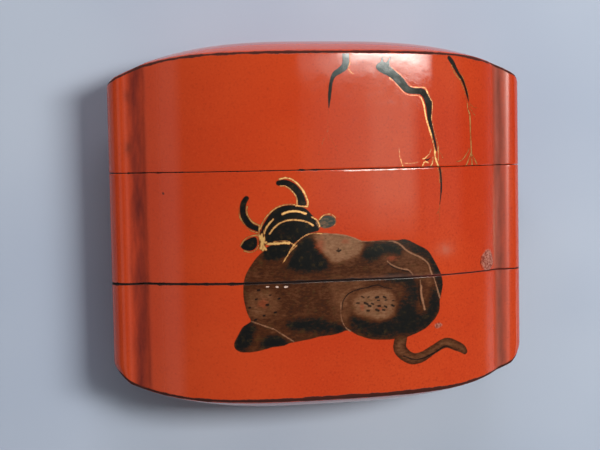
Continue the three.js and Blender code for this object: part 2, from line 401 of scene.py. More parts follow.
# Light and shade on the coat: (tone from 0 black to 1 tan, soft edge in mm, outline).
COAT_SHADE = [
    (0.56, 1.2, [(-1, -9.6), (2.4, -8.6), (5, -9.4), (3.4, -11), (2.2, -13), (2, -16), (0.6, -16.4),
        (-0.6, -13)]),
    (0.5, 0.6, [(8, -5.4), (9.6, -4.9), (11.2, -5.4), (12.6, -6.4), (14.6, -6.4), (15.8, -7.4),
        (16.4, -9), (15, -9.6), (13.6, -8.4), (11.6, -7.2), (9.4, -6.6), (8, -6.1)]),
    (0.84, 0.7, [(-3.6, -1.4), (-1, -1), (1.5, -1.3), (3.8, -2), (4.7, -3), (4.3, -4.4), (3.2, -5.2),
        (1.5, -5.8), (0, -6.1), (-1.4, -5.6), (-2.4, -4.4), (-3.5, -2.9)]),
    (0.0, 0.9, [(-4.9, -1.7), (-3.8, -2.2), (-3.3, -3.6), (-2.3, -4.8), (-1.5, -5.9), (-1.6, -6.9),
        (-3.5, -7.4), (-6, -7.2), (-7.8, -6.6), (-7.9, -5.6), (-7, -4.3), (-6.3, -3), (-5.5, -2.2)]),
    (0.02, 0.7, [(4.8, -4.1), (6.3, -3.4), (8.2, -3.2), (9.8, -3.3), (11.2, -4), (12.3, -5), (11.6, -5.6),
        (10.2, -5), (8.8, -4.8), (7.6, -5.3), (6.4, -5.8), (5.2, -5.8), (4.5, -5)]),
    (0.1, 0.7, [(8.4, -8.9), (9.6, -8.2), (11.3, -8.4), (12.8, -8.9), (13.4, -9.6), (12, -10.2),
        (9, -9.6)]),
    (0.5, 0.8, [(11.6, -4.4), (13.6, -5.4), (15.4, -6.4), (16.2, -8), (16.8, -10), (15.6, -10.4),
        (14.6, -8.4), (13.2, -7.2), (11.4, -6.4)]),
    (0.14, 0.5, [(10.7, -2.4), (12.2, -2.4), (13.5, -2.9), (15.3, -3.8), (16.9, -4.7), (17.8, -6.2),
        (18.6, -8), (19.3, -10), (19.2, -11.6), (18.5, -11.9), (17.9, -10.8), (17.2, -9.1), (16.8, -7.5),
        (16.1, -6.4), (15, -5.6), (13.6, -5), (12.3, -4.2), (11.4, -3.3)]),
    (0.1, 0.8, [(12.2, -10), (13.4, -9.8), (14.2, -11), (14.3, -12.6), (13.6, -13.4), (12.4, -13),
        (11.8, -11.4)]),
    (0.07, 0.9, [(11.5, -12.6), (12.6, -13), (13.6, -13.3), (14, -14.6), (14.6, -15.3), (15.6, -15.2),
        (16.1, -14.2), (16.4, -12.8), (16.8, -11.4), (17.7, -11.7), (18.3, -13.2), (18.2, -14.8),
        (17.3, -16.2), (15.4, -17.7), (13, -18.3), (11, -18.5), (8, -18.8), (5.5, -18.5), (3.6, -17.7),
        (2.5, -16.8), (2.2, -15.6), (3, -15.2), (4.4, -15.7), (6.3, -16.1), (8.4, -16), (10, -15.3),
        (10.7, -14.2), (11, -13)]),
    (0.02, 0.9, [(-7.9, -15.6), (-5.5, -15.2), (-3, -15.4), (-1, -15.9), (0.5, -16.5), (1.1, -17.1),
        (0.5, -17.8), (-1, -17.6), (-3, -17.4), (-5, -17.2), (-7, -16.8), (-8.5, -16.3)]),
    (0.03, 0.7, [(-16.9, -19.9), (-17, -18.5), (-16.2, -17), (-15.4, -15.8), (-14.4, -15.4),
        (-13.7, -16.2), (-13.9, -17.6), (-14.7, -19.2), (-15.8, -20.2)]),
    (0.02, 0.6, [(-12.9, -19), (-12, -18.1), (-10.6, -17.6), (-9.4, -17.9), (-8.7, -18.6), (-8.3, -19.3),
        (-10, -19.5), (-12, -19.6)]),
    (0.74, 0.7, [(2.7, -13.2), (3.2, -11.8), (4.8, -11), (7, -10.7), (8.9, -11.2), (9.9, -12.6),
        (10, -14.2), (9.2, -15.5), (7.4, -15.9), (5, -15.4), (3.3, -14.8)]),
    (0.6, 0.8, [(-14.9, -10.6), (-13.2, -10.1), (-11, -10.6), (-9.7, -12), (-10.3, -13.8), (-12, -14.5),
        (-13.9, -14.4), (-14.8, -12.6)]),
    (0.02, 0.5, [(-12, -4), (-10.8, -3.3), (-9, -3.1), (-7.8, -3.2), (-8.3, -4.2), (-9.6, -5.1),
        (-11.4, -5.2), (-12.1, -4.7)]),
]  # fmt: skip
# Where the red ground shows through a thin coat: centre and radii.
COAT_THIN = [
    (-2.6, -3, 1, 1.7), (9.6, -5.7, 1.3, 0.55), (-12.4, -12.4, 1.2, 1), (4.3, -13.6, 0.5, 0.8),
    (7.4, -14, 0.5, 0.4), (1.6, -2.6, 0.9, 0.6),
]  # fmt: skip
COAT_PALE_LINES = [
    (0.12, [(9.9, -2.9), (11, -3.4), (12.2, -4.5), (13.5, -5.2), (15.1, -6), (16.2, -7), (16.7, -8.4),
        (17.3, -9.6), (17.8, -11.2), (18.3, -12.8)]),
    (0.1, [(8.8, -6.2), (9.7, -6.9), (11.2, -7.5), (12.5, -7.8), (13.3, -8.6)]),
    (0.16, [(14.8, -10.6), (14.8, -12), (15.1, -13.4), (15.4, -14.6)]),
    (0.08, [(14.6, -9.6), (14.7, -10.6)]),
    (0.07, [(0.75, -12.6), (0.6, -14.4), (0.9, -16), (1.6, -17.1), (2.3, -17.6)]),
    (0.1, [(-2.6, -1.3), (-1, -1.25), (1.5, -1.6), (3.2, -2.15), (4.4, -2.7)]),
    (0.05, [(4.4, -2.7), (7, -2.75), (9.9, -2.85)]),
    (0.08, [(-14.3, -15.2), (-13, -15.7), (-12, -16.1), (-10.5, -16.7), (-9.5, -17.4), (-8.3, -18.2),
        (-7.4, -18.8)]),
]  # fmt: skip
COAT_DARK_LINES = [
    (0.1, [(9, -6.7), (10, -7.3), (11.3, -7.8), (12.5, -8.1), (13.1, -8.9)]),
    (0.1, [(9.5, -10.8), (8.2, -10.5), (6.9, -10.05), (5.2, -10.4), (3.6, -10.65), (2, -11.3),
        (1.05, -12.5), (0.9, -13.8)]),
    (0.12, [(14.35, -10.2), (14.4, -12), (14.7, -13.8)]),
    (0.13, [(0.1, -4.1), (0.5, -4.15), (0.8, -4)]),
    (0.1, [(0.4, -3.7), (0.45, -4.3)]),
    (0.06, [(-1.8, -2), (-1.6, -2.1)]),
    (0.12, [(11.4, -22.2), (13.3, -22.95), (15.3, -22.75), (17.4, -21.95), (19.2, -21.15),
        (20.6, -21.6)]),
]  # fmt: skip


THIGH_ROWS = [(4.1, 4), (3.3, 6), (5.6, 4), (5.2, 3)]  # where each row of ticks starts, and its count
KNEE = (-12.5, -12.6)
SPOT_TURN = 2.4  # from one spot on the knee to the next, in radians


def coat_marks():
    """Short brush ticks on the thigh and round spots on the knee."""
    draw = np.random.default_rng(5)
    ticks = []
    for row, (start, count) in enumerate(THIGH_ROWS):
        for column in range(count):
            x = start + column * 1.25 + draw.uniform(-0.25, 0.25)
            y = -12 - row * 0.8 + draw.uniform(-0.25, 0.25)
            length = draw.uniform(0.25, 0.55)
            ticks.append((draw.uniform(0.1, 0.2), [(x, y), (x + length, y + draw.uniform(-0.25, 0.1))]))
    spots = []
    for i in range(9):
        turn = i * SPOT_TURN
        reach = 0.7 + 0.75 * math.sqrt(i)
        x = KNEE[0] + reach * math.cos(turn)
        y = KNEE[1] + reach * math.sin(turn)
        spots.append((draw.uniform(0.12, 0.2), [(x, y), (x + 0.25, y + 0.05)]))
    return ticks + spots


def paint_ox_body(x, y):
    """The lying ox without its head: where the paint lies, how pale it is, and its drawn lines."""
    tail = stroke(x, y, OX_TAIL)
    body = patch(x, y, OX_BODY)
    tone = np.full(x.shape, COAT_TONE)
    for shade, soft, outline in COAT_SHADE:
        share = np.clip(0.5 - patch(x, y, outline) / (2 * soft), 0, 1)
        share = share * share * (3 - 2 * share)
        tone += (shade - tone) * share
    # The tail is palest along its middle.
    on_tail = np.clip(0.5 - tail / 0.4, 0, 1) * np.clip(body / 0.8, 0, 1)
    tone += (0.3 - 0.3 * np.clip(tail, -0.9, 0) - tone) * on_tail
    thin = np.zeros(x.shape)
    for cx, cy, rx, ry in COAT_THIN:
        thin = np.maximum(thin, cloud(x, y, cx, cy, rx, ry))
    return {
        "ox": np.minimum(body, tail),
        "tone": tone,
        "thin": thin,
        "pale": strokes(x, y, COAT_PALE_LINES),
        "dark": strokes(x, y, COAT_DARK_LINES + coat_marks()),
    }


LOWER_SEAM = 0.15  # half widths of the dark lines along the two seams
UPPER_SEAM = 0.03
PAINTING_LEVEL = 2  # how far in front of the case's middle the painting starts
PAINTING_MARGIN = 0.3  # how near to an edge it comes
PAINT_LAYERS = ["ox", "tone", "thin", "pale", "dark", "branch", "gold", "scuff", "chip", "smudge"]
SOFT_LAYERS = ("tone", "thin", "smudge")  # shares; the others are distances


def dress(mesh, turning, seams, front_paint, back_paint):
    """Stamps the painting, the wear, the grime and the painted glints on a piece's points."""
    points = np.empty(len(mesh.vertices) * 3)
    mesh.vertices.foreach_get("co", points)
    x, y, z = points.reshape(-1, 3).T / MM
    z = z - half_thickness
    rim = np.concatenate([[-FAR], turning.rims.ravel(), [-FAR]])
    outer = (rim > PAINTING_MARGIN) & (rim < UNPAINTED)
    layers = {name: np.full(x.shape, 0.0 if name in SOFT_LAYERS else FAR) for name in PAINT_LAYERS}
    front = outer & (z > PAINTING_LEVEL)
    back = outer & (z < -PAINTING_LEVEL)
    for face, paint, side in ((front, front_paint, 1), (back, back_paint, -1)):
        for name, values in paint(side * x[face], y[face]).items():
            layers[name][face] = values
    for name, values in layers.items():
        stamp(mesh, name, values)
    stamp(mesh, "rim", rim)
    nearest = np.full(x.shape, FAR)
    for seam, half in seams:
        nearest = np.minimum(nearest, np.abs(y - seam) - half)
    stamp(mesh, "seam", nearest)
    aside = np.where(x > 0, 0.1, 0.35)  # the dirt lies a little outside the flute's deepest line
    spread = np.where(x > 0, 1.3, 1.6)
    hollow = np.hypot(np.abs(x) - flute_x - aside, np.abs(z) - flute_z + FLUTE + 0.2)
    stamp(mesh, "grime", np.exp(-((hollow / spread) ** 2)))
    # A share that grows towards the left: the flutes' dirt and dulling are heavier there, and the red is
    # painted lighter there as painted light.
    left = np.clip(-4 * x / half_width, 0, 1)
    stamp(mesh, "left", left)
    # The seams are tighter towards the right.
    stamp(mesh, "right", np.clip((x - 12) / 8, 0, 1))
    # Handling has dulled the flutes and the beads' inner halves, more on the left.
    handled = np.clip((np.abs(x) - 26.5) / 3, 0, 1) * np.clip((34.4 - np.abs(x)) / 1.6, 0, 1)
    stamp(mesh, "handled", handled * (0.5 + 0.5 * left))
    # The ground shows in a wider line at the front of the lower end.
    stamp(mesh, "bare", 0.06 + 0.22 * (y < 0) * cloud(x, z, 7, half_thickness, 18, 8))


def cut(piece, tool):
    """Cuts a tool's shape out of a piece and throws the tool away."""
    change = piece.modifiers.new("cut", "BOOLEAN")
    change.operation = "DIFFERENCE"
    change.solver = "MANIFOLD"
    change.material_mode = "TRANSFER"
    change.object = tool
    bpy.context.view_layer.update()
    ready = piece.evaluated_get(bpy.context.evaluated_depsgraph_get())
    mesh = bpy.data.meshes.new_from_object(ready)
    piece.modifiers.clear()
    piece.data = mesh
    bpy.data.objects.remove(tool)


def put(name, data):
    """A new object in the scene."""
    made = bpy.data.objects.new(name, data)
    bpy.context.collection.objects.link(made)
    return made


def make_tool(name, shape, placed, finish):
    """A cutting tool from a shape, moved into its place; the cut takes its finish."""
    bmesh.ops.transform(shape, matrix=placed, verts=shape.verts)
    bmesh.ops.recalc_face_normals(shape, faces=shape.faces)
    mesh = bpy.data.meshes.new(name)
    shape.to_mesh(mesh)
    shape.free()
    mesh.materials.append(finish)
    return put(name, mesh)


def channel_drill(side):
    """The long round drill of one cord channel."""
    shape = bmesh.new()
    radius = CHANNEL * MM
    bmesh.ops.create_cone(
        shape,
        cap_ends=True,
        segments=CHANNEL_SIDES,
        radius1=radius,
        radius2=radius,
        depth=DRILL_LENGTH * MM,
    )
    turned = Matrix.Rotation(math.pi / 2, 4, "X")
    moved = Matrix.Translation(Vector((side * bead_x, 0, half_thickness)) * MM)
    return make_tool("drill", shape, moved @ turned, FINISHES[RAW])


def mouth_plane(side, end):
    """The block that grinds the small flat at a channel's mouth."""
    slope = END_FALL * END_POWER / flute_x * (bead_x / flute_x) ** (END_POWER - 1)
    shape = bmesh.new()
    bmesh.ops.create_cube(shape, size=MOUTH_BLOCK * MM)
    y = float(end_reach(np.array([[bead_x, 0]]))[0])
    placed = (
        Matrix.Translation(Vector((0, 0, half_thickness)) * MM)
        @ Matrix.Diagonal((side, end, 1, 1))
        @ Matrix.Translation(Vector((bead_x, y, 0)) * MM)
        @ Matrix.Rotation(-math.atan(slope), 4, "Z")
        @ Matrix.Translation(Vector((0, MOUTH_BLOCK / 2 - MOUTH_FLAT, 0)) * MM)
    )
    return make_tool("plane", shape, placed, FINISHES[INSIDE])


# Materials, from nodes.


def wire(tree, kind, values=None, **settings):
    """A node with its settings, its fixed values and its incoming wires."""
    made = tree.nodes.new(kind)
    for name, value in settings.items():
        setattr(made, name, value)
    for socket, value in (values or {}).items():
        if isinstance(value, bpy.types.NodeSocket):
            tree.links.new(value, made.inputs[socket])
        else:
            made.inputs[socket].default_value = value
    return made


def reckon(tree, operation, *values, clamp=False):
    """The result of one sum on numbers or wires."""
    made = wire(tree, "ShaderNodeMath", dict(enumerate(values)), operation=operation, use_clamp=clamp)
    return made.outputs[0]


def times(tree, first, second, clamp=False):
    return reckon(tree, "MULTIPLY", first, second, clamp=clamp)


def plus(tree, first, second, clamp=False):
    return reckon(tree, "ADD", first, second, clamp=clamp)


def stamped(tree, name):
    """A number that was stamped on the points."""
    return wire(tree, "ShaderNodeAttribute", attribute_name=name).outputs["Fac"]


def grain(tree, size, detail=2.0, rough=0.5, squeeze=(1, 1, 1)):
    """Noise about 0 with spots of one size in millimetres, squeezed along some axes."""
    place = wire(tree, "ShaderNodeTexCoord").outputs["Object"]
    place = wire(tree, "ShaderNodeVectorMath", {0: place, 1: squeeze}, operation="MULTIPLY").outputs[0]
    values = {"Vector": place, "Scale": 1 / (size * MM), "Detail": detail, "Roughness": rough}
    noise = wire(tree, "ShaderNodeTexNoise", values)
    return reckon(tree, "SUBTRACT", noise.outputs["Fac"], 0.5)


def fade(tree, value, start, stop, low=0.0, high=1.0):
    """A number that goes smoothly from low to high while the value goes from start to stop."""
    values = {"Value": value, "From Min": start, "From Max": stop, "To Min": low, "To Max": high}
    made = wire(tree, "ShaderNodeMapRange", values, interpolation_type="SMOOTHSTEP")
    return made.outputs["Result"]


def within(tree, distance, soft):
    """1 where a distance is negative, fading over twice the soft width."""
    return fade(tree, distance, soft, -soft)


def lay(tree, under, over, share):
    """One colour laid over another."""
    return wire(tree, "ShaderNodeMix", {0: share, 6: under, 7: over}, data_type="RGBA").outputs[2]


def swing(tree, low, high, share):
    """A plain number between two others."""
    return wire(tree, "ShaderNodeMix", {0: share, 2: low, 3: high}, data_type="FLOAT").outputs[0]


def dye(red, green, blue):
    """A colour given as it looks, from 0 to 255, as the shader's own linear colour."""
    flat = [c / 255 for c in (red, green, blue)]
    return (*[c / 12.92 if c < 0.04 else ((c + 0.055) / 1.055) ** 2.4 for c in flat], 1)


def ramp(tree, value, stops):
    """A colour for each value, blended between the stops (value, colour)."""
    made = wire(tree, "ShaderNodeValToRGB", {"Fac": value})
    band = made.color_ramp
    while len(band.elements) < len(stops):
        band.elements.new(0.5)
    for element, (place, colour) in zip(band.elements, stops):
        element.position = place
        element.color = colour
    return made.outputs["Color"]


def emboss(tree, skin, height, strength, depth):
    """Lets a fine relief show in the light."""
    bump = wire(tree, "ShaderNodeBump", {"Height": height, "Strength": strength, "Distance": depth})
    tree.links.new(bump.outputs["Normal"], skin.inputs["Normal"])


def new_finish(name):
    """A new material with its nodes and its shader."""
    finish = bpy.data.materials.new(name)
    finish.use_nodes = True
    tree = finish.node_tree
    return finish, tree, tree.nodes["Principled BSDF"]


def painted_lacquer():
    """Polished vermilion lacquer with its gold-lined painting, grime, edge wear and painted light: a
    lighter left side, painted highlights and glints.
    """
    finish, tree, skin = new_finish("painted_vermilion_lacquer")
    broad = grain(tree, 22, 3)
    fine = grain(tree, 1.3, 3)
    tiny = grain(tree, 0.35, 2)
    red = lay(tree, dye(186, 54, 21), dye(194, 66, 28), fade(tree, broad, -0.2, 0.2))
    red = lay(tree, red, dye(158, 40, 16), fade(tree, fine, 0.05, 0.35, 0, 0.35))
    red = lay(tree, red, dye(212, 92, 48), fade(tree, tiny, 0.02, 0.3, 0, 0.22))
    red = lay(tree, red, dye(142, 38, 20), fade(tree, tiny, -0.02, -0.3, 0, 0.5))

    # Painted light: the red is painted a little lighter towards the left, standing in for more light on
    # that side.
    left = stamped(tree, "left")  # a little lighter towards the left
    red = lay(tree, red, dye(206, 76, 32), times(tree, left, 0.3))

    # Dirt in the flutes, heavier on the left, in streaks along the case.
    grime = stamped(tree, "grime")
    streaks = grain(tree, 1.2, 4, 0.6, (1, 0.2, 1))
    dirt = times(tree, grime, swing(tree, 0.66, 0.85, left))
    dirt = plus(tree, dirt, times(tree, streaks, 0.9), clamp=True)
    dirt = times(tree, dirt, fade(tree, grime, 0.02, 0.55))
    colour = lay(tree, red, lay(tree, dye(96, 56, 44), dye(84, 16, 7), left), dirt)

    # The ox's coat, from black to tan, thin enough in places for the red to show.
    shaky = times(tree, fine, 0.14)
    ox = within(tree, plus(tree, stamped(tree, "ox"), shaky), 0.09)
    hair = grain(tree, 0.45, 3, 0.65, (0.6, 1.3, 1))
    tone = plus(tree, stamped(tree, "tone"), times(tree, hair, 0.6))
    tone = plus(tree, tone, times(tree, grain(tree, 2.4, 4), 0.3))
    coat = ramp(
        tree,
        reckon(tree, "DIVIDE", tone, 1.5),
        [
            (0, dye(15, 17, 17)),
            (0.07, dye(22, 21, 19)),
            (0.24, dye(68, 34, 15)),
            (0.4, dye(102, 62, 38)),
            (0.66, dye(150, 110, 82)),
            (0.86, dye(60, 64, 58)),
        ],
    )
    coat = lay(tree, coat, dye(74, 58, 28), fade(tree, grain(tree, 1.1, 4, 0.6), 0.02, 0.25, 0, 0.4))
    thin = plus(tree, stamped(tree, "thin"), times(tree, hair, 1.6))
    coat = lay(tree, coat, dye(150, 58, 32), fade(tree, thin, 0.3, 1.1, 0, 0.45))
    colour = lay(tree, colour, coat, ox)
    uneven = plus(tree, times(tree, tiny, 0.13), times(tree, fine, 0.22))
    pale = within(tree, plus(tree, stamped(tree, "pale"), uneven), 0.09)
    colour = lay(tree, colour, dye(172, 124, 94), times(tree, pale, 0.7))
    dark = within(tree, plus(tree, stamped(tree, "dark"), shaky), 0.08)
    colour = lay(tree, colour, dye(18, 14, 12), times(tree, dark, 0.9))

    # Black branches and gold lines; the gold is painted lighter along each line's middle, a painted
    # highlight as on raised gold.
    branch = within(tree, plus(tree, stamped(tree, "branch"), shaky), 0.08)
    ink = lay(tree, dye(22, 20, 18), dye(60, 44, 30), fade(tree, tiny, 0.05, 0.3, 0, 0.7))
    colour = lay(tree, colour, ink, branch)
    gold_gap = plus(tree, stamped(tree, "gold"), uneven)
    gold = within(tree, gold_gap, 0.07)
    gilt_and_highlight = lay(tree, dye(150, 86, 36), dye(232, 184, 112), fade(tree, gold_gap, 0.02, -0.17))
    colour = lay(tree, colour, gilt_and_highlight, gold)

    # Worn edges: the black ground shows through along the ends and at the seams.
    rim = stamped(tree, "rim")
    worn = reckon(tree, "ABSOLUTE", reckon(tree, "SUBTRACT", rim, BARE_LEVEL))
    worn = reckon(tree, "SUBTRACT", worn, stamped(tree, "bare"))
    worn = plus(tree, worn, times(tree, grain(tree, 2.2, 5, 0.65), 0.7))
    worn = within(tree, reckon(tree, "SUBTRACT", worn, 0.16), 0.07)
    colour = lay(tree, colour, dye(46, 12, 5), times(tree, worn, 0.95))
    right = stamped(tree, "right")
    seam = stamped(tree, "seam")
    rubbed = plus(tree, seam, times(tree, grain(tree, 1.8, 4, 0.6), 0.7))
    rubbed = within(tree, rubbed, 0.06)
    seam = within(tree, plus(tree, seam, swing(tree, 0.0, 0.05, right)), 0.04)
    rubbed = times(tree, rubbed, swing(tree, 1.0, 0.3, right))
    seam = reckon(tree, "MAXIMUM", seam, rubbed)
    colour = lay(tree, colour, lay(tree, dye(26, 8, 5), dye(112, 32, 20), right), seam)
    worn = reckon(tree, "MAXIMUM", worn, seam)

    # Smudges and soot, painted glints along the right flute and bead, a knock and small white chips.
    smudge = times(tree, stamped(tree, "smudge"), fade(tree, fine, -0.3, 0.2, 0.3, 1))
    colour = lay(tree, colour, dye(176, 122, 104), reckon(tree, "MAXIMUM", smudge, 0.0))
    sooty = times(tree, smudge, -1.0, clamp=True)
    colour = lay(tree, colour, dye(52, 16, 9), sooty)
    scuff = plus(tree, stamped(tree, "scuff"), times(tree, fine, 0.8))
    scuff = within(tree, scuff, 0.18)
    scraped = lay(tree, dye(112, 52, 40), dye(176, 122, 106), fade(tree, tiny, -0.15, 0.15))
    colour = lay(tree, colour, scraped, times(tree, scuff, 0.85))
    # White chips and scratches, and the line under the upper seam, which is partly a painted highlight.
    chip = plus(tree, stamped(tree, "chip"), times(tree, fine, 0.3))
    chip = within(tree, chip, 0.05)
    colour = lay(tree, colour, dye(236, 206, 190), times(tree, chip, 0.85))
    tree.links.new(colour, skin.inputs["Base Color"])

    rough = swing(tree, 0.05, 0.09, fade(tree, fine, -0.2, 0.3))
    rough = swing(tree, rough, 0.45, stamped(tree, "handled"))
    rough = swing(tree, rough, 0.12, ox)
    matt = times(tree, fade(tree, grime, 0.05, 0.5), swing(tree, 0.5, 1.0, left))
    rough = swing(tree, rough, 1.0, reckon(tree, "MAXIMUM", matt, reckon(tree, "MAXIMUM", worn, dirt)))
    rough = swing(tree, rough, 0.34, gold)
    tree.links.new(rough, skin.inputs["Roughness"])
    tree.links.new(times(tree, gold, 0.45), skin.inputs["Metallic"])
    relief = times(tree, grain(tree, 3.5, 2), 0.6)
    relief = plus(tree, relief, times(tree, grain(tree, 0.8, 2), 0.12))
    relief = reckon(tree, "SUBTRACT", relief, times(tree, worn, 0.3))
    emboss(tree, skin, relief, 0.1, 0.0001)
    return finish


def plain_lacquer(name, unevenness, dark, light, light_between, roughness, depth):
    """Lacquer without paint, with unevenness (size in millimetres, detail, roughness) from the brush."""
    finish, tree, skin = new_finish(name)
    uneven = grain(tree, *unevenness)
    colour = lay(tree, dye(*dark), dye(*light), fade(tree, uneven, *light_between))
    tree.links.new(colour, skin.inputs["Base Color"])
    dull = swing(tree, *roughness, fade(tree, uneven, -0.2, 0.2))
    tree.links.new(dull, skin.inputs["Roughness"])
    emboss(tree, skin, uneven, 0.2, depth)
    return finish


# Red in the rooms, a little dusty in its brush marks; thin and dark on the risers, the ledges and in
# the cord channels, and rubbed in places.
room_lacquer = plain_lacquer(
    "red_room_lacquer", (9, 4), (150, 34, 14), (178, 48, 24), (-0.2, 0.2), (0.35, 0.5), 0.0003
)
riser_lacquer = plain_lacquer(
    "dark_riser_lacquer", (4, 5, 0.6), (30, 18, 14), (74, 34, 22), (-0.1, 0.25), (0.4, 0.7), 0.0002
)
FINISHES = [painted_lacquer(), room_lacquer, riser_lacquer]
SHARP = math.radians(35)


def clear_cuts(piece):
    """A cut leaves zeros on its new points: puts them far from every painted line and edge."""
    rims = np.empty(len(piece.data.vertices), np.float32)
    piece.data.attributes["rim"].data.foreach_get("value", rims)
    new = rims == 0
    values = np.empty_like(rims)
    for layer in PAINT_LAYERS + ["seam", "rim"]:
        if layer not in SOFT_LAYERS:
            numbers = piece.data.attributes[layer].data
            numbers.foreach_get("value", values)
            values[new] = FAR
            numbers.foreach_set("value", values)


def finish_piece(name, mesh, node, ends):
    """Drills the channels, grinds the mouths and sets the piece in the frame."""
    for finish in FINISHES:
        mesh.materials.append(finish)
    piece = put(name, mesh)
    for side in (-1, 1):
        cut(piece, channel_drill(side))
        for end in ends:
            cut(piece, mouth_plane(side, end))
    clear_cuts(piece)
    piece.data.shade_smooth()
    piece.data.set_sharp_from_angle(angle=SHARP)
    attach(piece, "root")
    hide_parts(node)


BOTTOM_BORE = -20  # the room is straight down to here

middle_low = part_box("middle_case")[0].y / MM
bottom_mouth = middle_low - SEAM_GAP
bottom_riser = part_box("bottom_case")[1].y / MM

turning = Turning()
turning.domed_end(-1, outwards=True)
wall_ring = case_ring(0)
turning.outer_wall(EDGE - end_reach(wall_ring), bottom_mouth - EASE, END_PIECE_ROWS)
turning.seam_edge(bottom_mouth, 1, outwards=False)
riser_rings(turning, bottom_mouth, bottom_riser)
inner_room = room_ring(ROOM_INSET)
room_floor = END_WALL - end_reach(inner_room)
levels = [bottom_riser - RISER_EASE, bottom_mouth, BOTTOM_BORE, room_floor]
turning.bore(inner_room, levels, INSIDE)
turning.closed_end(inner_room, lambda o: END_WALL - end_reach(o), INSIDE, outwards=False)
bottom_mesh = shell("bottom_case_lacquered", turning, -half_length, END_WALL - half_length)

BOTTOM_CHIPS = [
    (0.1, [(-11.7, -9.6), (-11.4, -9.6)]),
    (0.2, [(-10.1, -9.65), (-9.9, -9.7)]),
    (0.12, [(-8.7, -9.75), (-8.3, -9.75)]),
    (-0.04, [(-4, -9.42), (3, -9.4), (10, -9.37)]),
]


def bottom_front(x, y):
    """The ox's legs, haunch and tail, with the white chips along the seam."""
    paint = paint_ox_body(x, y)
    paint["scuff"] = oval(x, y, 18, -17.5, 0.6, 0.35)
    paint["chip"] = strokes(x, y, BOTTOM_CHIPS)
    return paint


def bottom_back(x, y):
    """The back of this piece has no paint."""
    return {}


dress(bottom_mesh, turning, [(bottom_mouth, LOWER_SEAM)], bottom_front, bottom_back)
finish_piece("bottom_case_lacquered", bottom_mesh, "bottom_case", ends=[-1])

# ------------------------------------------------------------------ middle case
# A shallower wooden cup with straight walls: a riser above, a floor in the middle and a socket below
# that slides over the bottom case's riser. It carries the ox's head and shoulders.

MIDDLE_BORE = 3  # a height inside its room

middle_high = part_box("lid")[0].y / MM - SEAM_GAP
middle_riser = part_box("middle_case")[1].y / MM
socket_top = bottom_riser + SOCKET_GAP
middle_floor = socket_top + FLOOR_THICKNESS

turning = Turning()
socket = room_ring(WALL)
turning.closed_end(socket, lambda o: socket_top, INSIDE, outwards=True)
turning.bore(socket, [socket_top, socket_top - SOCKET_RING, middle_low], INSIDE)
turning.seam_edge(middle_low, -1, outwards=True)
turning.outer_wall(middle_low + EASE, middle_high - EASE, MIDDLE_ROWS)
turning.seam_edge(middle_high, 1, outwards=False)
riser_rings(turning, middle_high, middle_riser)
turning.bore(inner_room, [middle_riser - RISER_EASE, middle_high, MIDDLE_BORE, middle_floor], INSIDE)
turning.closed_end(inner_room, lambda o: middle_floor, INSIDE, outwards=False)
middle_mesh = shell("middle_case_lacquered", turning, socket_top, middle_floor)

OX_HEAD = [
    (-12.4, -0.4), (-11.7, 1.2), (-10.3, 2.9), (-8.5, 3.6), (-6.5, 3.6), (-5, 3), (-4, 2), (-3.2, 1),
    (-2.7, 0.1), (-3, -0.7), (-4.2, -1), (-5.6, -1.7), (-7, -2.6), (-9, -3.2), (-12, -2.4),
]  # fmt: skip
RIGHT_HORN = [
    (-9.4, 7.3, 0.45), (-8.2, 7.3, 0.5), (-6.9, 6.5, 0.6), (-6, 5.2, 0.7), (-5.6, 3.9, 0.75),
]  # fmt: skip
LEFT_HORN = [
    (-14.7, 4.9, 0.42), (-15.2, 4, 0.5), (-15.3, 2.7, 0.5), (-14.8, 1.3, 0.55), (-14, 0.4, 0.5),
    (-12.9, -0.1, 0.45),
]  # fmt: skip
LEFT_EAR = [
    (-15.8, -2.8), (-15, -1.9), (-14, -1.45), (-13.2, -1.5), (-13.1, -2.8), (-13.9, -3.6), (-15.1, -3.5),
]  # fmt: skip
